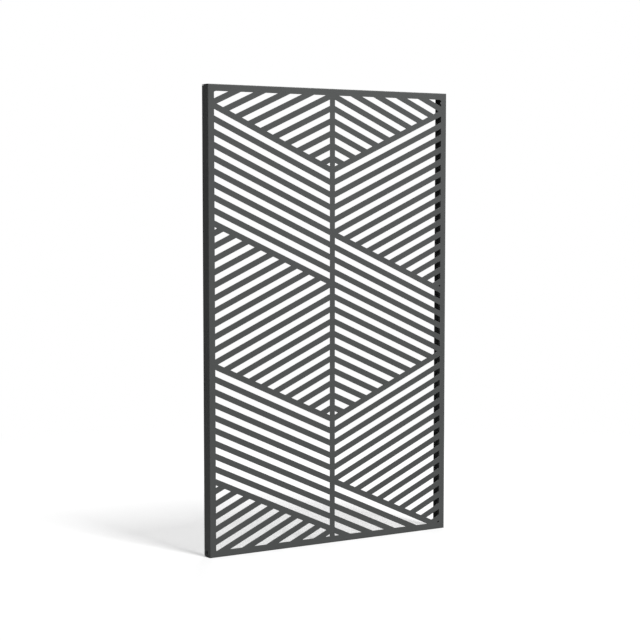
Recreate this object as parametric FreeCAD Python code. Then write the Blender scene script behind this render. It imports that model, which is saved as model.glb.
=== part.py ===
# Steel screen panel: a slotted sheet folded back on all four sides, with a rail in its head and its foot.
# Millimetres. X runs along the panel, Y from its front to its back, Z up from the floor.
# The origin is on the floor, under the middle of the panel.
import FreeCAD, Part
import math
import os

# Overall size
panel_width = 1100.0
panel_height = 1800.0
panel_depth = 50.0

# Folded face sheet: wall, inside bend radius, the lips at the back of its two sides,
# and the open gaps that the ends of the sides and of their lips leave to the head and the foot
sheet_wall = 1.5
sheet_bend_radius = 1.5
side_lip = 20.0
side_gap = 3.0
lip_gap = 1.0

# Slots: the pitch and the drop are upright distances, taken at the middle of the panel
border = 26.0
mullion = 23.0
bar_width = 22.8
slot_angle = 24.5
slot_pitch = 49.22
first_slot_drop = 48.85

# Rails inside the head and the foot: both lie between the corner brackets,
# and reach from the back to a gap behind the front fold
rail_front_gap = 2.5
rail_end_gap = 6.0

# Top rail, a folded angle, whose lip stands in for the one that the head lacks
rail_wall = 2.0
rail_bend_radius = 2.0
rail_back_lip = 10.0

# Bottom rail, a solid bar, whose weight low down and towards the back keeps the panel upright
foot_bar_height = 11.0
foot_bar_edge_radius = 1.0
foot_bar_clamp = 4.0
counterbore_diameter = 13.0

# Round hole near the foot of both sides
side_hole_diameter = 18.0
side_hole_rise = 17.0

# Corner brackets
bracket_wall = 2.0
bracket_bend_radius = 4.5
bracket_leg = 50.0
bracket_width = 28.0
bracket_stud_reach = 36.0

# Weld studs and their nuts
stud_diameter = 5.0
stud_clearance = 0.3
thread_gap = 0.1
stud_end = 1.5
nut_flats = 8.0
nut_height = 4.7

# Row of studs along the head and the foot, for each rail
rail_stud_count = 4
rail_stud_end_gap = 110.0

# How far a cutter runs past the metal
overrun = 5.0

# Directions of a slot, seen from the front and followed to the right
RISING = 1
FALLING = -1

# Sides of a slanted line
ABOVE = 1
BELOW = -1

# Where the slots of a column change direction: the bar above this slot, and how that bar runs
left_turns = [(7, FALLING), (16, FALLING), (27, FALLING), (36, FALLING)]
right_turns = [(7, RISING), (12, FALLING), (27, RISING), (32, FALLING)]

# Worked out from the sizes above
half_width = panel_width / 2
front = -panel_depth / 2
back = panel_depth / 2
sheet_back = front + sheet_wall
lip_front = back - sheet_wall
lip_tip = half_width - side_lip
fold_reach = sheet_wall + sheet_bend_radius
depth_middle = (sheet_back + lip_front) / 2
foot_seat = sheet_wall
side_seat = sheet_wall - half_width
rail_front = front + fold_reach + rail_front_gap
rail_start = side_seat + bracket_leg + rail_end_gap
slot_slope = math.tan(math.radians(slot_angle))
slot_height = slot_pitch - bar_width / math.cos(math.radians(slot_angle))
stud_hole_radius = stud_diameter / 2 + stud_clearance

ORIGIN = FreeCAD.Vector(0, 0, 0)
X = FreeCAD.Vector(1, 0, 0)
Y = FreeCAD.Vector(0, 1, 0)
Z = FreeCAD.Vector(0, 0, 1)


def rounded_wire(corners):
    """Closed wire through corners of (point, radius); a radius of zero is a sharp corner."""
    starts, middles, ends = [], [], []
    for index, (point, radius) in enumerate(corners):
        to_last = (corners[index - 1][0] - point).normalize()
        to_next = (corners[(index + 1) % len(corners)][0] - point).normalize()
        half_turn = to_last.getAngle(to_next) / 2
        reach = radius / math.tan(half_turn)
        inward = (to_last + to_next).normalize()
        starts.append(point + to_last * reach)
        middles.append(point + inward * (radius / math.sin(half_turn) - radius))
        ends.append(point + to_next * reach)
    edges = []
    for index, (point, radius) in enumerate(corners):
        if radius > 0:
            edges.append(Part.Arc(starts[index], middles[index], ends[index]).toShape())
        edges.append(Part.LineSegment(ends[index], starts[(index + 1) % len(corners)]).toShape())
    return Part.Wire(edges)


def prism(points, way):
    """Solid with flat ends: a closed polygon drawn out along a way."""
    return Part.Face(Part.makePolygon(points + points[:1])).extrude(way)


def slot_line(number, offset, direction, x):
    """Height at x of the line that lies offset above the middle of a slot."""
    drop = first_slot_drop + (number - 1) * slot_pitch
    return panel_height - drop + offset + direction * slot_slope * x


def keep_side(outline, number, offset, direction, side):
    """The part of a convex outline of (x, z) points that lies on one side of a slanted line."""
    kept = []
    for index, (x, z) in enumerate(outline):
        last_x, last_z = outline[index - 1]
        over = side * (z - slot_line(number, offset, direction, x))
        last_over = side * (last_z - slot_line(number, offset, direction, last_x))
        if over * last_over < 0:
            share = last_over / (last_over - over)
            kept.append((last_x + (x - last_x) * share, last_z + (z - last_z) * share))
        if over >= 0:
            kept.append((x, z))
    return kept


def slots_in_band(band, direction):
    """Outlines of the slots of one direction in a convex band; none is lower than the sheet is thick."""
    drops = [panel_height - z + direction * slot_slope * x for x, z in band]
    first = math.floor((min(drops) - first_slot_drop) / slot_pitch)
    last = math.ceil((max(drops) - first_slot_drop) / slot_pitch) + 2
    slots = []
    for number in range(first, last + 1):
        outline = keep_side(band, number, slot_height / 2, direction, BELOW)
        outline = keep_side(outline, number, -slot_height / 2, direction, ABOVE)
        heights = [z for x, z in outline]
        if len(outline) > 2 and max(heights) - min(heights) > sheet_wall:
            slots.append(outline)
    return slots


def slots_in_column(x_low, x_high, turns, direction):
    """Outlines of all slots of one column; the slots change direction at each turn."""
    bar_top = slot_pitch - slot_height / 2
    bar_foot = slot_height / 2
    z_low, z_high = border, panel_height - border
    column = [(x_low, z_low), (x_high, z_low), (x_high, z_high), (x_low, z_high)]
    slots = []
    for index in range(len(turns) + 1):
        band = column
        if index > 0:
            band = keep_side(band, turns[index - 1][0], bar_foot, turns[index - 1][1], BELOW)
        if index < len(turns):
            band = keep_side(band, turns[index][0], bar_top, turns[index][1], ABOVE)
        if band:
            slots += slots_in_band(band, direction)
        direction = -direction
    return slots


def slot_cutters():
    """Group of cutters for the slots of both columns, through the face alone."""
    outlines = slots_in_column(border - half_width, -mullion / 2, left_turns, RISING)
    outlines += slots_in_column(mullion / 2, half_width - border, right_turns, FALLING)
    way = Y * (sheet_wall + 2 * overrun)
    print("slots", len(outlines))
    faces = [[FreeCAD.Vector(x, front - overrun, z) for x, z in outline] for outline in outlines]
    return Part.makeCompound([prism(face, way) for face in faces])


def side_hole():
    """Cutter for the round hole through the foot of both sides and of their brackets."""
    start = FreeCAD.Vector(-half_width - overrun, depth_middle, side_hole_rise)
    return Part.makeCylinder(side_hole_diameter / 2, panel_width + 2 * overrun, start, X)


def with_folds(block, radius):
    """A block whose front edges and upright back edges are rounded, as folded sheet is."""
    middle = block.BoundBox.Center
    folds = []
    for edge in block.Edges:
        place = edge.CenterOfMass
        if place.y < middle.y - radius or abs(place.z - middle.z) < radius:
            folds.append(edge)
    return block.makeFillet(radius, folds)


def block_inside(wall):
    """The panel's outer block, less a wall on every side."""
    start = FreeCAD.Vector(wall - half_width, front + wall, wall)
    return Part.makeBox(panel_width - 2 * wall, panel_depth - 2 * wall, panel_height - 2 * wall, start)


def back_opening():
    """Cutter for the open back, from lip to lip and from the foot to the head."""
    start = FreeCAD.Vector(-lip_tip, lip_front - overrun, foot_seat)
    return Part.makeBox(2 * lip_tip, sheet_wall + 2 * overrun, panel_height - 2 * foot_seat, start)


def corner_gaps():
    """Group of cutters for the open gaps at the ends of both sides and their lips, behind the front folds."""
    start = FreeCAD.Vector(-half_width - overrun, front + fold_reach, foot_seat)
    side = Part.makeBox(fold_reach + overrun, panel_depth, side_gap, start)
    lip = Part.makeBox(side_lip + overrun, panel_depth, lip_gap, start)
    return at_four_corners(side.fuse(lip))


def folded_face_sheet():
    """One sheet: the slotted face, folded back on all four sides, closed at its front corners."""
    outside = with_folds(block_inside(0), fold_reach)
    sheet = outside.cut(with_folds(block_inside(sheet_wall), sheet_bend_radius))
    for cutter in (back_opening(), corner_gaps(), slot_cutters(), side_hole()):
        sheet = sheet.cut(cutter)
    return sheet.Solids[0]


def along_rail(profile):
    """A profile of (y, z, radius) corners drawn out from one end of the rails to the other."""
    corners = [(FreeCAD.Vector(rail_start, y, z), radius) for y, z, radius in profile]
    return Part.Face(rounded_wire(corners)).extrude(X * -2 * rail_start)


def bottom_rail():
    """Solid bar that lies on the foot, with a counterbore for each nut."""
    low, high = foot_seat, foot_seat + foot_bar_height
    places = [(rail_front, low), (lip_front, low), (lip_front, high), (rail_front, high)]
    bar = along_rail([(y, z, foot_bar_edge_radius) for y, z in places])
    seats = rail_stud_seats(foot_bar_clamp)
    bar = bar.cut(Part.makeCompound([stud_hole(*seat) for seat in seats]))
    return bar.cut(Part.makeCompound([counterbore(*seat) for seat in seats])).Solids[0]


def top_rail():
    """Angle inside the head: a web flat on the head, and a lip that hangs at the back. Drawn in the foot."""
    low, high, tip = foot_seat, foot_seat + rail_wall, foot_seat + rail_back_lip
    angle = along_rail([
        (rail_front, low, 0), (lip_front, low, rail_wall + rail_bend_radius),
        (lip_front, tip, 0), (lip_front - rail_wall, tip, 0),
        (lip_front - rail_wall, high, rail_bend_radius), (rail_front, high, 0),
    ])
    holes = [stud_hole(*seat) for seat in rail_stud_seats(rail_wall)]
    return mirrored_up(angle.cut(Part.makeCompound(holes)).Solids[0])


def bottom_left_bracket():
    """Angle bracket in the lower left corner, flat on the side and on the foot."""
    x, z = side_seat, foot_seat
    profile = [
        (x, z, bracket_bend_radius + bracket_wall), (x + bracket_leg, z, 0),
        (x + bracket_leg, z + bracket_wall, 0),
        (x + bracket_wall, z + bracket_wall, bracket_bend_radius),
        (x + bracket_wall, z + bracket_leg, 0), (x, z + bracket_leg, 0),
    ]
    start = depth_middle - bracket_width / 2
    corners = [(FreeCAD.Vector(px, start, pz), radius) for px, pz, radius in profile]
    bracket = Part.Face(rounded_wire(corners)).extrude(Y * bracket_width)
    holes = [stud_hole(*seat) for seat in bracket_stud_seats()]
    return bracket.cut(Part.makeCompound(holes)).Solids[0]


def rail_stud_seats(clamped):
    """Place, way and clamped thickness of each stud along the foot."""
    span = panel_width - 2 * rail_stud_end_gap
    shares = [index / (rail_stud_count - 1) for index in range(rail_stud_count)]
    places = [FreeCAD.Vector(span * share - span / 2, depth_middle, foot_seat) for share in shares]
    return [(place, Z, clamped) for place in places]


def side_stud_seat():
    """Place, way and clamped thickness of the stud on the side, for the lower left bracket."""
    place = FreeCAD.Vector(side_seat, depth_middle, foot_seat + bracket_stud_reach)
    return place, X, bracket_wall


def foot_stud_seat():
    """Place, way and clamped thickness of the stud on the foot, for the lower left bracket."""
    place = FreeCAD.Vector(side_seat + bracket_stud_reach, depth_middle, foot_seat)
    return place, Z, bracket_wall


def bracket_stud_seats():
    """Seats of both studs of the lower left bracket."""
    return [side_stud_seat(), foot_stud_seat()]


def stud_hole(place, way, clamped):
    """Cutter for a stud's clearance hole through what its nut clamps."""
    return Part.makeCylinder(stud_hole_radius, clamped + overrun, place, way)


def counterbore(place, way, clamped):
    """Cutter for the room of a nut inside the bar, above what the nut clamps."""
    return Part.makeCylinder(counterbore_diameter / 2, foot_bar_height, place + way * clamped, way)


def weld_stud(place, way, clamped):
    """Stud that stands on its seat, passes the clamped metal and the nut, and ends past them."""
    return Part.makeCylinder(stud_diameter / 2, clamped + nut_height + stud_end, place, way)


def hexagon_nut(place, way, clamped):
    """Hexagon nut, seated on the clamped metal."""
    radius = nut_flats / math.sqrt(3)
    turns = [math.radians(60 * index) for index in range(6)]
    corners = [FreeCAD.Vector(radius * math.cos(turn), radius * math.sin(turn), 0) for turn in turns]
    bore = Part.makeCylinder(stud_diameter / 2 + thread_gap, nut_height + 2 * overrun, Z * -overrun)
    nut = prism(corners, Z * nut_height).cut(bore).Solids[0]
    nut.Placement = FreeCAD.Placement(place + way * clamped, FreeCAD.Rotation(Z, way))
    return nut


def mirrored_across(shape):
    """The shape on the other side of the panel's upright middle."""
    return shape.mirror(ORIGIN, X)


def mirrored_up(shape):
    """The shape at the head of the panel in place of the foot."""
    return shape.mirror(Z * (panel_height / 2), Z)


def at_four_corners(shape):
    """A lower left shape in all four corners, as one group of solids."""
    foot = shape.Solids + mirrored_across(shape).Solids
    return Part.makeCompound(foot + mirrored_up(Part.makeCompound(foot)).Solids)


def rail_pieces():
    """Both rails, with the studs and nuts that hold them in the head and the foot, by name."""
    foot_seats, head_seats = rail_stud_seats(foot_bar_clamp), rail_stud_seats(rail_wall)
    groups = {}
    for name, fastener in (("rail_weld_studs", weld_stud), ("rail_nuts", hexagon_nut)):
        foot = [fastener(*seat) for seat in foot_seats]
        head = [mirrored_up(fastener(*seat)) for seat in head_seats]
        groups[name] = Part.makeCompound(foot + head)
    return {"bottom_rail": bottom_rail(), "top_rail": top_rail(), **groups}


def bracket_pieces():
    """Four corner brackets, with the studs and nuts that hold them, by name."""
    plain = bottom_left_bracket()
    holed = plain.cut(side_hole()).Solids[0]
    studs = Part.makeCompound([weld_stud(*seat) for seat in bracket_stud_seats()])
    nuts = Part.makeCompound([hexagon_nut(*seat) for seat in bracket_stud_seats()])
    return {
        "bottom_left_corner_bracket": holed,
        "bottom_right_corner_bracket": mirrored_across(holed),
        "top_left_corner_bracket": mirrored_up(plain),
        "top_right_corner_bracket": mirrored_up(mirrored_across(plain)),
        "bracket_weld_studs": at_four_corners(studs),
        "bracket_nuts": at_four_corners(nuts),
    }


def main():
    pieces = {"folded_face_sheet": folded_face_sheet()}
    pieces.update(rail_pieces())
    pieces.update(bracket_pieces())
    os.makedirs("parts", exist_ok=True)
    for name, shape in pieces.items():
        shape.exportStep("parts/" + name + ".step")
        print(name, "solids", len(shape.Solids), "valid", shape.isValid(), "volume", round(shape.Volume))


main()
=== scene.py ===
# %% [markdown]
# # A slotted steel screen panel
# The panel is one steel sheet, cut with slanted slots and folded back on all four sides, then powder coated.
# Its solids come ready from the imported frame, at their real size and place, so nothing is fitted here.
# This lesson adds what the solids lack: camera, light, finishes and the threads of the fasteners.
# The box of the loaded solids is kept, because the dressed panel has to stay inside it.

# %% Load the panel
import math

import bmesh
import bpy
from mathutils import Matrix, Vector


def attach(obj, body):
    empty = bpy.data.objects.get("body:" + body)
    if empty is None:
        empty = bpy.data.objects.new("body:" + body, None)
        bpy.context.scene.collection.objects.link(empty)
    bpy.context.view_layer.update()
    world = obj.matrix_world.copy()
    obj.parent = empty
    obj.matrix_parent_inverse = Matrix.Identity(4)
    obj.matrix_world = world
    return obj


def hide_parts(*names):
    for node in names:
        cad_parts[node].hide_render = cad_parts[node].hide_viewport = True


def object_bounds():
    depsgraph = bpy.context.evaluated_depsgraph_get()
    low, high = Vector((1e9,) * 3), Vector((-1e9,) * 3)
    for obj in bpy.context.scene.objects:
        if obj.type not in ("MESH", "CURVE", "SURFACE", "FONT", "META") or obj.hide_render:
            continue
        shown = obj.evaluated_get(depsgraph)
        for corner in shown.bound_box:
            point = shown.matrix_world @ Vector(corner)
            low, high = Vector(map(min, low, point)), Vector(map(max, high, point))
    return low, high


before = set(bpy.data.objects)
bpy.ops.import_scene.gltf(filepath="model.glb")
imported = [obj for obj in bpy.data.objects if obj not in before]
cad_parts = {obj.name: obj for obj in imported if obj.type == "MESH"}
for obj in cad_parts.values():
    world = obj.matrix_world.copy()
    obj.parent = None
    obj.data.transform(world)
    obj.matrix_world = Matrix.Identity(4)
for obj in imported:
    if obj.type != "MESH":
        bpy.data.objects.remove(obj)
cad_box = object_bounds()
scene = bpy.context.scene
scene.view_settings.view_transform = "Standard"
panel_middle = (cad_box[0] + cad_box[1]) / 2
print("solids of the panel:", sorted(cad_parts))
print("size of the panel:", [round(side, 4) for side in cad_box[1] - cad_box[0]])

# %% [markdown]
# ## Camera
# The picture was taken from the left of the panel's front, a little above its middle, with a long lens.
# A camera could be aimed with a constraint, but a place, a yaw and a dip are easier to read and to change.
# The direction is turned into a rotation that points the camera's own -Z along it, with its Y axis up.

# %% Place the camera
camera_place = Vector((-3.3548, -5.3917, 1.3669))
camera_yaw = math.radians(31.564)
camera_dip = math.radians(4.291)
camera_lens = 90.18
camera_sensor = 36.0

camera_data = bpy.data.cameras.new("front_left_camera")
camera_data.lens = camera_lens
camera_data.sensor_width = camera_sensor
camera = bpy.data.objects.new("front_left_camera", camera_data)
looking = Vector((
    math.sin(camera_yaw) * math.cos(camera_dip),
    math.cos(camera_yaw) * math.cos(camera_dip),
    -math.sin(camera_dip),
))
camera.location = camera_place
camera.rotation_euler = looking.to_track_quat("-Z", "Y").to_euler()
scene.collection.objects.link(camera)
scene.camera = camera
print("camera is", round((camera_place - panel_middle).length, 2), "m from the middle of the panel")

# %% [markdown]
# ## Helpers for nodes
# The light and every finish below are trees of shader nodes. Adding a node, setting its options and wiring
# its sockets takes three lines each time, so two short helpers do it. Long lists of such lines would also
# work, but the wiring would be hard to follow in them.

# %% Helpers for nodes
def fill_socket(tree, socket, value):
    """Links another node's output into a socket, or sets the socket to a plain value."""
    if isinstance(value, bpy.types.NodeSocket):
        tree.links.new(value, socket)
    else:
        socket.default_value = value


def add_node(tree, kind, sockets=None, **options):
    """A new node with its options set, and with numbers or links put into its named sockets."""
    node = tree.nodes.new("ShaderNode" + kind)
    for option, value in options.items():
        setattr(node, option, value)
    for name, value in (sockets or {}).items():
        fill_socket(tree, node.inputs[name], value)
    return node


print("a node can be added and wired in one line")

# %% [markdown]
# ## Helpers for values
# Masks and strengths are worked out by two kinds of node: Math for one sum, and Map Range to move a value
# from one range to another. Both have numbered sockets, so a helper for each keeps those numbers
# out of sight.

# %% Helpers for values
def math_node(tree, operation, first, second=0.0, clamp=False):
    """The result of one sum, product or comparison."""
    node = tree.nodes.new("ShaderNodeMath")
    node.operation = operation
    node.use_clamp = clamp
    fill_socket(tree, node.inputs[0], first)
    fill_socket(tree, node.inputs[1], second)
    return node.outputs[0]


def map_range(tree, value, from_low, from_high, to_low=0.0, to_high=1.0, smooth=False):
    """A value moved from one range to another, and held inside the new one."""
    node = tree.nodes.new("ShaderNodeMapRange")
    node.interpolation_type = "SMOOTHSTEP" if smooth else "LINEAR"
    for socket, number in zip(node.inputs, (value, from_low, from_high, to_low, to_high)):
        fill_socket(tree, socket, number)
    return node.outputs[0]


print("values can be worked out inside a tree")

# %% [markdown]
# ## White surroundings
# The panel stands in an empty white studio. A white world at full strength would also light the panel flat,
# so the world is white where the camera, a reflection or a clear material looks at it,
# and only a dim even light for everything else. Light Path tells these kinds of ray apart.

# %% White world
even_light = 0.24


def rays_that_see_white(tree):
    """One for camera, glossy and transmission rays, and zero for the rays that carry light."""
    path = tree.nodes.new("ShaderNodeLightPath")
    seen = math_node(tree, "MAXIMUM", path.outputs["Is Camera Ray"], path.outputs["Is Glossy Ray"])
    return math_node(tree, "MAXIMUM", seen, path.outputs["Is Transmission Ray"])


world = bpy.data.worlds.new("white_studio")
world.use_nodes = True
scene.world = world
background = world.node_tree.nodes["Background"]
seen_world = rays_that_see_white(world.node_tree)
world_strength = map_range(world.node_tree, seen_world, 0.0, 1.0, even_light, 1.0)
fill_socket(world.node_tree, background.inputs["Color"], (1.0, 1.0, 1.0, 1.0))
fill_socket(world.node_tree, background.inputs["Strength"], world_strength)
print("even light of the world:", even_light)

# %% [markdown]
# ## Floor
# The floor is a plain white sweep that only shows the panel's shadow. A white diffuse floor would have to be
# lit to exactly full white everywhere, so this one is a mid grey surface with a glow that the camera sees.
# Grey and glow together reach white in the open, and in the shadow the grey part drops away.
# Far from the panel, where lamps fall off, the floor turns into plain white, so no horizon shows.

# %% Floor
floor_half_size = 60.0
floor_grey = 0.41
floor_bounce = 0.13
floor_glow = 0.435
shadow_room = 2.0
shadow_fade = 3.4


def floor_material():
    """Grey with a glow near the panel, and plain white further out."""
    material = bpy.data.materials.new("white_sweep")
    material.use_nodes = True
    tree = material.node_tree
    tree.nodes.clear()
    seen = rays_that_see_white(tree)
    shade = map_range(tree, seen, 0.0, 1.0, floor_bounce, floor_grey)
    grey = add_node(tree, "BsdfDiffuse", {"Color": shade})
    glow = add_node(tree, "Emission", {"Strength": math_node(tree, "MULTIPLY", seen, floor_glow)})
    near = add_node(tree, "AddShader")
    tree.links.new(grey.outputs[0], near.inputs[0])
    tree.links.new(glow.outputs[0], near.inputs[1])
    far = add_node(tree, "Emission", {"Strength": seen})
    place = add_node(tree, "TexCoord").outputs["Object"]
    distance = add_node(tree, "VectorMath", {0: place}, operation="LENGTH").outputs["Value"]
    outside = map_range(tree, distance, shadow_room, shadow_fade, smooth=True)
    both = add_node(tree, "MixShader", {"Fac": outside})
    tree.links.new(near.outputs[0], both.inputs[1])
    tree.links.new(far.outputs[0], both.inputs[2])
    out = add_node(tree, "OutputMaterial")
    tree.links.new(both.outputs[0], out.inputs["Surface"])
    return material


floor_corners = [
    (x * floor_half_size, y * floor_half_size, 0.0) for x, y in ((-1, -1), (1, -1), (1, 1), (-1, 1))
]
floor_mesh = bpy.data.meshes.new("studio_floor")
floor_mesh.from_pydata(floor_corners, [], [(0, 1, 2, 3)])
floor = bpy.data.objects.new("studio_floor", floor_mesh)
floor.data.materials.append(floor_material())
scene.collection.objects.link(floor)
print("floor reaches", floor_half_size, "m each way")

# %% [markdown]
# ## Lamps
# One far lamp high in front does most of the work: it leaves the left side dark and throws the shadow behind
# the panel, with borders that run almost side by side, as in sunlight. A sun lamp would blur the shadow
# alike in every direction. A rectangle can be narrow, so that the shadow of the left border is crisp near
# the foot, and long, so that the shadow of the head is soft. A near lamp in front of the head, a little to
# the right, shades the face from a lighter head to a darker foot, and one behind keeps the back readable.
# The power of each is worked out from the light that should reach the panel.

# %% Lamps
def area_lamp(name, turn, rise, distance, width, height, light):
    """Lamp aimed at the panel, turn and rise in degrees; a light of 1 shows a colour as it is written."""
    turn, rise = math.radians(turn), math.radians(rise)
    away = Vector((
        math.sin(turn) * math.cos(rise),
        -math.cos(turn) * math.cos(rise),
        math.sin(rise),
    ))
    lamp_data = bpy.data.lights.new(name, "AREA")
    lamp_data.shape = "RECTANGLE"
    lamp_data.size = width
    lamp_data.size_y = height
    lamp_data.energy = light * (math.pi * distance) ** 2
    lamp = bpy.data.objects.new(name, lamp_data)
    lamp.location = panel_middle + away * distance
    lamp.rotation_euler = (-away).to_track_quat("-Z", "Y").to_euler()
    scene.collection.objects.link(lamp)
    print(name, "at", [round(value, 2) for value in lamp.location], "power", round(lamp_data.energy))


area_lamp("key_lamp", turn=10, rise=65.5, distance=30.0, width=3.6, height=9.0, light=1.16)
area_lamp("head_lamp", turn=18, rise=42, distance=2.3, width=2.0, height=0.6, light=0.23)
area_lamp("back_lamp", turn=140, rise=35, distance=7.0, width=3.0, height=3.0, light=0.45)

# %% [markdown]
# ## Helpers for shared effects
# Grain, dust and soft edges show up in more than one finish. Copying their nodes into each material would
# work, but a node group is built once and is then placed in each of them with its own values.
# The group only puts out masks and directions, and the shader itself stays in the material.

# %% Helpers for shared effects
def start_group(name, inputs, outputs):
    """A node group with (name, socket kind, default) inputs and (name, socket kind) outputs."""
    tree = bpy.data.node_groups.new(name, "ShaderNodeTree")
    for label, kind, default in inputs:
        socket = tree.interface.new_socket(label, in_out="INPUT", socket_type="NodeSocket" + kind)
        socket.default_value = default
    for label, kind in outputs:
        tree.interface.new_socket(label, in_out="OUTPUT", socket_type="NodeSocket" + kind)
    return tree, tree.nodes.new("NodeGroupInput").outputs, tree.nodes.new("NodeGroupOutput").inputs


def place_group(tree, group, **values):
    """A shared group placed in a material, with its own values."""
    node = tree.nodes.new("ShaderNodeGroup")
    node.node_tree = group
    for name, value in values.items():
        fill_socket(tree, node.inputs[name.replace("_", " ")], value)
    return node


print("effects can be shared between finishes")

# %% [markdown]
# ## Shared effect: powder grain
# Powder coat melts into a skin with a fine, slightly uneven surface: grains of well under a millimetre,
# and faint cloudy patches where the powder lay thicker. Both come from noise in the solid's own space,
# so no unwrapping is needed and the grain keeps its real size on every piece.
# Noise seldom leaves the middle of its range, so that middle is stretched to run from zero to one.

# %% Node group for the powder grain
noise_low, noise_high = 0.3, 0.7
grain_detail, patch_detail = 2.0, 4.0


def powder_grain_group():
    """Fine grain and cloudy patches, both from zero to one."""
    tree, inputs, outputs = start_group(
        "powder_grain",
        [("Grain Size", "Float", 0.0008), ("Patch Size", "Float", 0.15)],
        [("Grain", "Float"), ("Patches", "Float")],
    )
    place = add_node(tree, "TexCoord").outputs["Object"]
    grain_scale = math_node(tree, "DIVIDE", 1.0, inputs["Grain Size"])
    patch_scale = math_node(tree, "DIVIDE", 1.0, inputs["Patch Size"])
    grain = add_node(tree, "TexNoise", {"Vector": place, "Scale": grain_scale, "Detail": grain_detail})
    patches = add_node(tree, "TexNoise", {"Vector": place, "Scale": patch_scale, "Detail": patch_detail})
    fill_socket(tree, outputs["Grain"], map_range(tree, grain.outputs[0], noise_low, noise_high))
    fill_socket(tree, outputs["Patches"], map_range(tree, patches.outputs[0], noise_low, noise_high))
    return tree


powder_grain = powder_grain_group()
print("group", powder_grain.name, "has", len(powder_grain.nodes), "nodes")

# %% [markdown]
# ## Shared effect: settled dust
# Dust lies on what faces up: the head of the panel, the lower walls of the slots, the rail in the foot.
# It could be painted on by hand, but a mask that is worked out from the shape fits every piece.
# The mask takes the upward part of the surface's direction and breaks it up with noise.

# %% Node group for settled dust
too_steep, nearly_level = 0.4, 0.95
dust_detail = 5.0
bare_below, covered_above = 0.35, 0.7


def settled_dust_group():
    """Share of dust, in patches on what faces up."""
    tree, inputs, outputs = start_group(
        "settled_dust", [("Amount", "Float", 0.3), ("Patch Size", "Float", 0.02)], [("Dust", "Float")]
    )
    normal = add_node(tree, "NewGeometry").outputs["Normal"]
    upward = add_node(tree, "SeparateXYZ", {0: normal}).outputs["Z"]
    facing_up = map_range(tree, upward, too_steep, nearly_level, smooth=True)
    place = add_node(tree, "TexCoord").outputs["Object"]
    scale = math_node(tree, "DIVIDE", 1.0, inputs["Patch Size"])
    cloud = add_node(tree, "TexNoise", {"Vector": place, "Scale": scale, "Detail": dust_detail})
    patches = map_range(tree, cloud.outputs[0], bare_below, covered_above)
    lying = math_node(tree, "MULTIPLY", facing_up, patches)
    fill_socket(tree, outputs["Dust"], math_node(tree, "MULTIPLY", lying, inputs["Amount"], clamp=True))
    return tree


settled_dust = settled_dust_group()
print("group", settled_dust.name, "has", len(settled_dust.nodes), "nodes")

# %% [markdown]
# ## Shared effect: soft edges
# A cut or folded edge is never quite sharp once it is coated: the skin rounds it and lies thinner there.
# Real rounding on every slot would cost a great many faces, so the Bevel node bends the shading instead.
# Where its direction leaves the plain one there is an edge, and that gives a mask for the thin coat.

# %% Node group for soft edges
match_on_flats, match_on_edges = 0.99, 0.75
edge_samples = 6


def soft_edges_group():
    """Rounded direction of the surface, and a mask of the edges."""
    tree, inputs, outputs = start_group(
        "soft_edges", [("Radius", "Float", 0.0004)], [("Edge", "Float"), ("Normal", "Vector")]
    )
    rounded = add_node(tree, "Bevel", {"Radius": inputs["Radius"]}, samples=edge_samples).outputs["Normal"]
    plain = add_node(tree, "NewGeometry").outputs["Normal"]
    alike = add_node(tree, "VectorMath", {0: rounded, 1: plain}, operation="DOT_PRODUCT").outputs["Value"]
    fill_socket(tree, outputs["Edge"], map_range(tree, alike, match_on_flats, match_on_edges))
    fill_socket(tree, outputs["Normal"], rounded)
    return tree


soft_edges = soft_edges_group()
print("group", soft_edges.name, "has", len(soft_edges.nodes), "nodes")

# %% [markdown]
# ## Helper for colours
# Each finish starts from one colour and lays others over it, by the masks that the groups put out.
# The Mix node does this for numbers, vectors and colours alike and keeps sockets for all of them,
# so the helper picks the ones for colours.

# %% Helper for colours
def mix_colour(tree, share, first, second):
    """A colour between two others."""
    node = tree.nodes.new("ShaderNodeMix")
    node.data_type = "RGBA"
    colours = [socket for socket in node.inputs if socket.type == "RGBA"]
    fill_socket(tree, node.inputs[0], share)
    fill_socket(tree, colours[0], first)
    fill_socket(tree, colours[1], second)
    return [socket for socket in node.outputs if socket.type == "RGBA"][0]


print("colours can be mixed by a mask")

# %% [markdown]
# ## Finish: anthracite powder coat
# The coat is a matt dark grey plastic skin, so it is a Principled BSDF with no metal in it.
# Patches shift its grey a little, grain breaks up its gloss, edges are a shade lighter where the skin is
# thin, and dust greys what faces up. Two materials could be wired one by one, but one recipe serves both.
# The brackets were coated apart from the sheet and its rails, so they are a shade darker and smoother.

# %% Powder coat
coat_sizes = {"Grain_Size": 0.0009, "Patch_Size": 0.16}
coat_edge_radius = 0.0005
coat_edge_share = 0.6
coat_dust_patch = 0.02
coat_dust_grey = (0.32, 0.31, 0.29, 1.0)
coat_roughness = (0.62, 0.78)
coat_grain_strength = 0.5
coat_specular = 0.12


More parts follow.
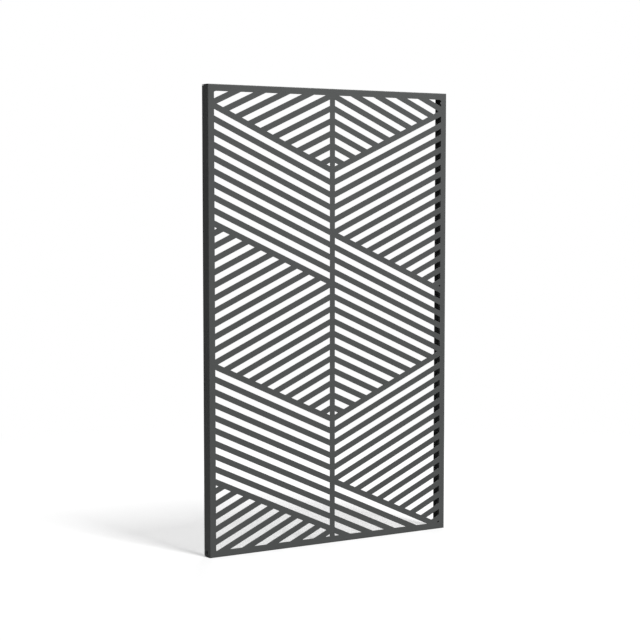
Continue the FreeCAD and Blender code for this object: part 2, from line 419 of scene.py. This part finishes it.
def powder_coat(name, light_grey, dark_grey, edge_grey, dust_amount, grain_height):
    """Matt coat whose grey wanders between two shades, with thin edges and dust on what faces up."""
    material = bpy.data.materials.new(name)
    material.use_nodes = True
    tree = material.node_tree
    coat = tree.nodes["Principled BSDF"]
    grain = place_group(tree, powder_grain, **coat_sizes).outputs
    dust = place_group(tree, settled_dust, Amount=dust_amount, Patch_Size=coat_dust_patch).outputs
    edges = place_group(tree, soft_edges, Radius=coat_edge_radius).outputs
    grey = mix_colour(tree, grain["Patches"], dark_grey, light_grey)
    grey = mix_colour(tree, math_node(tree, "MULTIPLY", edges["Edge"], coat_edge_share), grey, edge_grey)
    grey = mix_colour(tree, dust["Dust"], grey, coat_dust_grey)
    roughness = map_range(tree, grain["Grain"], 0.0, 1.0, *coat_roughness)
    bump = add_node(tree, "Bump", {"Height": grain["Grain"], "Normal": edges["Normal"]})
    bump.inputs["Strength"].default_value = coat_grain_strength
    bump.inputs["Distance"].default_value = grain_height
    fill_socket(tree, coat.inputs["Base Color"], grey)
    fill_socket(tree, coat.inputs["Roughness"], roughness)
    fill_socket(tree, coat.inputs["Normal"], bump.outputs["Normal"])
    coat.inputs["Specular IOR Level"].default_value = coat_specular
    return material


sheet_coat = powder_coat(
    "anthracite_powder_coat",
    light_grey=(0.105, 0.109, 0.108, 1.0),
    dark_grey=(0.095, 0.099, 0.098, 1.0),
    edge_grey=(0.125, 0.126, 0.128, 1.0),
    dust_amount=0.18,
    grain_height=0.00012,
)
bracket_coat = powder_coat(
    "bracket_powder_coat",
    light_grey=(0.094, 0.095, 0.098, 1.0),
    dark_grey=(0.084, 0.085, 0.088, 1.0),
    edge_grey=(0.115, 0.116, 0.118, 1.0),
    dust_amount=0.25,
    grain_height=0.00008,
)
print("coats:", sheet_coat.name, bracket_coat.name)

# %% [markdown]
# ## Finish: zinc plating
# Studs and nuts are bright zinc, a thin crystalline metal skin that dulls unevenly in the hand and the air.
# Voronoi cells could draw its crystals, but on pieces of this size they are too small to be seen.
# So it is a plain metal, with the shared patches between a brighter and a greyer zinc and some grain
# in its gloss.

# %% Zinc plating
zinc_sizes = {"Grain_Size": 0.0005, "Patch_Size": 0.006}
dull_zinc, bright_zinc = (0.44, 0.45, 0.46, 1.0), (0.62, 0.62, 0.60, 1.0)
zinc_dust = {"Amount": 0.25, "Patch_Size": 0.004}
zinc_dust_grey = (0.36, 0.35, 0.33, 1.0)
zinc_roughness = (0.30, 0.48)
zinc_grain_strength = 0.2
zinc_grain_height = 0.00003


def zinc_plating():
    """Bright metal that is duller in patches and a little rough."""
    material = bpy.data.materials.new("zinc_plating")
    material.use_nodes = True
    tree = material.node_tree
    metal = tree.nodes["Principled BSDF"]
    grain = place_group(tree, powder_grain, **zinc_sizes).outputs
    dust = place_group(tree, settled_dust, **zinc_dust).outputs
    shade = mix_colour(tree, grain["Patches"], dull_zinc, bright_zinc)
    shade = mix_colour(tree, dust["Dust"], shade, zinc_dust_grey)
    roughness = map_range(tree, grain["Grain"], 0.0, 1.0, *zinc_roughness)
    bump = add_node(tree, "Bump", {"Height": grain["Grain"]})
    bump.inputs["Strength"].default_value = zinc_grain_strength
    bump.inputs["Distance"].default_value = zinc_grain_height
    fill_socket(tree, metal.inputs["Base Color"], shade)
    fill_socket(tree, metal.inputs["Roughness"], roughness)
    fill_socket(tree, metal.inputs["Normal"], bump.outputs["Normal"])
    metal.inputs["Metallic"].default_value = 1.0
    return material


zinc = zinc_plating()
print("metal:", zinc.name)

# %% [markdown]
# ## Coat the sheet, the rails and the brackets
# Their solids already have the true shape, folds and slots included. Meshes modelled anew could only differ
# from it, so the solids stay and just change their finish.

# %% Coat the solids
coats = {node: sheet_coat for node in ("folded_face_sheet", "bottom_rail", "top_rail")}
coats.update({node: bracket_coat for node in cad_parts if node.endswith("_corner_bracket")})
for node in sorted(coats):
    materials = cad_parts[node].data.materials
    materials.clear()
    materials.append(coats[node])
    print(node, "has", coats[node].name)

# %% [markdown]
# ## Where the fasteners sit
# The solids of the studs and nuts are plain, because threads and chamfers belong to the looks.
# Places typed in here would be wrong as soon as a solid moved, so each new fastener takes its place and size
# from the solid that it stands for. The solids of a group are told apart by walking from corner to corner
# of a welded copy of the mesh, and each one's box is kept.

# %% Read the boxes of the fasteners
weld_distance = 1e-6


def separate_boxes(node):
    """Lowest and highest corner of each separate solid in a group."""
    copy = bmesh.new()
    copy.from_mesh(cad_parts[node].data)
    bmesh.ops.remove_doubles(copy, verts=copy.verts, dist=weld_distance)
    boxes = []
    for start in copy.verts:
        if start.tag:
            continue
        start.tag = True
        waiting, corners = [start], []
        while waiting:
            corner = waiting.pop()
            corners.append(corner.co.copy())
            for edge in corner.link_edges:
                other = edge.other_vert(corner)
                if not other.tag:
                    other.tag = True
                    waiting.append(other)
        low = Vector([min(corner[axis] for corner in corners) for axis in range(3)])
        high = Vector([max(corner[axis] for corner in corners) for axis in range(3)])
        boxes.append((low, high))
    copy.free()
    print(node, "has", len(boxes), "solids")
    return boxes


fastener_boxes = {
    node: separate_boxes(node)
    for node in ("rail_nuts", "bracket_nuts", "rail_weld_studs", "bracket_weld_studs")
}

# %% [markdown]
# ## How the fasteners point
# A nut is shortest along its axis and a stud is longest along it, so the box gives the axis.
# Both point from the sheet into the panel, and each is turned about its axis by a different amount,
# because nuts on a real panel never stop at the same angle.

# %% Helper for places
fastener_twist = math.radians(23)


def seat_matrix(box, long_axis, turn):
    """Place of a fastener: its middle, its axis pointing into the panel, and its turn about that axis."""
    low, high = box
    sides = list(high - low)
    axis = sides.index(max(sides) if long_axis else min(sides))
    middle = (low + high) / 2
    way = Vector((0, 0, 0))
    way[axis] = 1 if middle[axis] < panel_middle[axis] else -1
    spin = Vector((0, 0, 1)).rotation_difference(way).to_matrix().to_4x4()
    return Matrix.Translation(middle) @ spin @ Matrix.Rotation(turn, 4, "Z"), sides[axis]


print("each fastener is turned", round(math.degrees(fastener_twist)), "degrees further than the last")

# %% [markdown]
# ## Rings into a mesh
# A nut and a stud are both turned shapes with small departures from round. Stacking rings of points and
# joining each to the next makes closed, even faces, and each ring is one line of formula.
# The finished mesh is shaded smooth, apart from edges that turn by more than a set angle.

# %% Helpers for rings
sharp_angle = math.radians(35)


def join_rings(shape, rings, closed):
    """Adds rings of points to a mesh in the making, with faces between neighbours."""
    loops = [[shape.verts.new(point) for point in ring] for ring in rings]
    pairs = list(zip(loops, loops[1:]))
    if closed:
        pairs.append((loops[-1], loops[0]))
    for lower, upper in pairs:
        for index in range(len(lower)):
            after = (index + 1) % len(lower)
            shape.faces.new((lower[index], lower[after], upper[after], upper[index]))
    return loops


def finished_piece(name, shape, stands_for):
    """The mesh as a zinc piece of the panel, in place of a group of solids."""
    mesh = bpy.data.meshes.new(name)
    bmesh.ops.recalc_face_normals(shape, faces=shape.faces)
    shape.to_mesh(mesh)
    shape.free()
    mesh.shade_smooth()
    mesh.set_sharp_from_angle(angle=sharp_angle)
    mesh.materials.append(zinc)
    piece = bpy.data.objects.new(name, mesh)
    scene.collection.objects.link(piece)
    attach(piece, "root")
    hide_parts(stands_for)
    print(name, "has", len(mesh.polygons), "faces")


print("helpers for rings are ready")

# %% [markdown]
# ## Nuts
# A hexagon nut is cut from bar and its corners are turned off at 30 degrees, which leaves curved edges on
# the flats. A boolean of a prism and a cone would do it, but the ring form is shorter: at each angle the
# hexagon has a known radius, and the cone gives the height at which the corner is cut away.

# %% Nuts
nut_points = 60
nut_face_share = 0.94
chamfer_slope = math.tan(math.radians(30))
countersink = 0.00025
nut_bore = 0.0026


def nut_rings(flats, height):
    """Rings of a hexagon nut about its own middle, from the upper end of its bore round to the lower end."""
    half, face = height / 2, flats / 2 * nut_face_share
    turns = [2 * math.pi * index / nut_points for index in range(nut_points)]
    half_flat = math.pi / 6
    hexagon = [flats / 2 / math.cos((turn + half_flat) % (2 * half_flat) - half_flat) for turn in turns]
    rings = []
    for way in (1, -1):
        bored = [(nut_bore, way * (half - countersink))] * nut_points
        rim = [(nut_bore + countersink, way * half)] * nut_points
        flat = [(face, way * half)] * nut_points
        corner = [(radius, way * (half - (radius - face) * chamfer_slope)) for radius in hexagon]
        rings += [bored, rim, flat, corner][::way]
    return [
        [(radius * math.cos(turn), radius * math.sin(turn), z) for (radius, z), turn in zip(ring, turns)]
        for ring in rings
    ]


def nut_set(name, node):
    """All nuts of a group, each turned a little further than the last."""
    shape = bmesh.new()
    for index, box in enumerate(fastener_boxes[node]):
        place, height = seat_matrix(box, long_axis=False, turn=index * fastener_twist)
        flats = sorted(box[1] - box[0])[1]
        rings = nut_rings(flats, height)
        join_rings(shape, [[place @ Vector(point) for point in ring] for ring in rings], closed=True)
    finished_piece(name, shape, node)


nut_set("rail_nut_set", "rail_nuts")
nut_set("bracket_nut_set", "bracket_nuts")

# %% [markdown]
# ## Weld studs
# The studs are short threaded pins, welded by their foot to the inside of the sheet. Their thread could be a
# Screw modifier on a profile, but a ring form also gives the turned tip: the radius swings between root and
# crest once per pitch, shifted by the angle, and the tip holds it under a cone.

# %% Weld studs
stud_points = 20
rings_per_pitch = 8
thread_pitch = 0.0008
thread_depth = 0.00043
thread_steepness = 2.6
tip_chamfer = 0.0005


def stud_rings(radius, length):
    """Rings of a threaded stud about its own middle, from its foot to its tip."""
    count = math.ceil(length / thread_pitch * rings_per_pitch)
    rings = []
    for step in range(count + 1):
        rise = length * step / count
        tip = radius - tip_chamfer + (length - rise)
        ring = []
        for index in range(stud_points):
            turn = 2 * math.pi * index / stud_points
            phase = (rise / thread_pitch - index / stud_points) % 1.0
            groove = thread_depth * max(0.0, 1.0 - abs(phase - 0.5) * thread_steepness)
            here = min(radius - groove, tip)
            ring.append((here * math.cos(turn), here * math.sin(turn), rise - length / 2))
        rings.append(ring)
    return rings


def stud_set(name, node):
    """All studs of a group, as closed threaded pins."""
    shape = bmesh.new()
    for index, box in enumerate(fastener_boxes[node]):
        place, length = seat_matrix(box, long_axis=True, turn=index * fastener_twist)
        radius = min(box[1] - box[0]) / 2
        rings = [[place @ Vector(point) for point in ring] for ring in stud_rings(radius, length)]
        loops = join_rings(shape, rings, closed=False)
        shape.faces.new(loops[0])
        shape.faces.new(loops[-1])
    finished_piece(name, shape, node)


stud_set("rail_stud_set", "rail_weld_studs")
stud_set("bracket_stud_set", "bracket_weld_studs")
